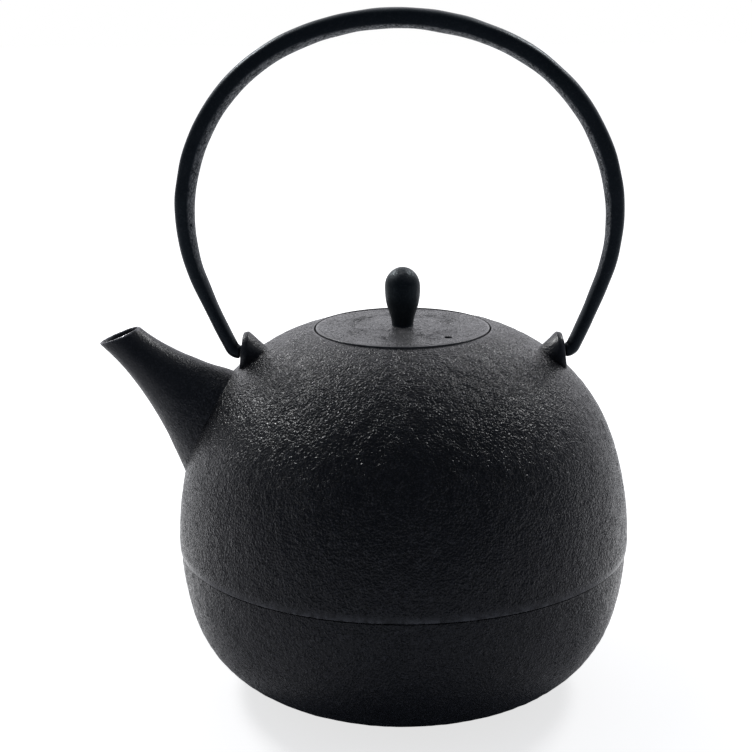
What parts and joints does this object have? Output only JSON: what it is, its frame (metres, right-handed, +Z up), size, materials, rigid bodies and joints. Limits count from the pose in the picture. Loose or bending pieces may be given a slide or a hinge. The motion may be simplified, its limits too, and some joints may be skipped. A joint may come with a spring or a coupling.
{
  "type": "cast-iron kettle with a swinging bail",
  "caption": "Round-bodied cast-iron kettle (tetsubin) with a flush lid and pear-shaped knob, a short spout cast on one side, and an arched bail that swings on pins in two ears",
  "frame": {"origin": "on the axis of the kettle's body, on its flat base", "axes": "+Z up along the body's axis, -X towards the spout, the bail's pins along X, the pictured side faces -Y"},
  "size_m": [0.1864, 0.16, 0.2396],
  "materials": {
    "body_iron": "fine sand-cast skin, blackened, satin",
    "lid_iron": "cast skin with small wavy wrinkles, dark grey, matt",
    "knob_iron": "smooth, blackened, satin",
    "washer_iron": "plain, dark, matt",
    "bail_iron": "smooth and blackened outside, rough grey on the inner side"
  },
  "bodies": {
    "kettle": {"kettle_body": "body_iron"},
    "lid_set": {"lid": "lid_iron", "lid_knob": "knob_iron", "knob_washer": "washer_iron"},
    "bail": {"bail_handle": "bail_iron"}
  },
  "joints": [
    {"name": "bail_swing", "type": "hinge", "parent": "kettle", "child": "bail", "pos_m": [0, 0, 0.1219], "axis": [1, 0, 0], "range_deg": [-120, 120]},
    {"name": "lid_lift", "type": "slide", "parent": "kettle", "child": "lid_set", "axis": [0, 0, 1], "range_m": [0, 0.06]}
  ]
}
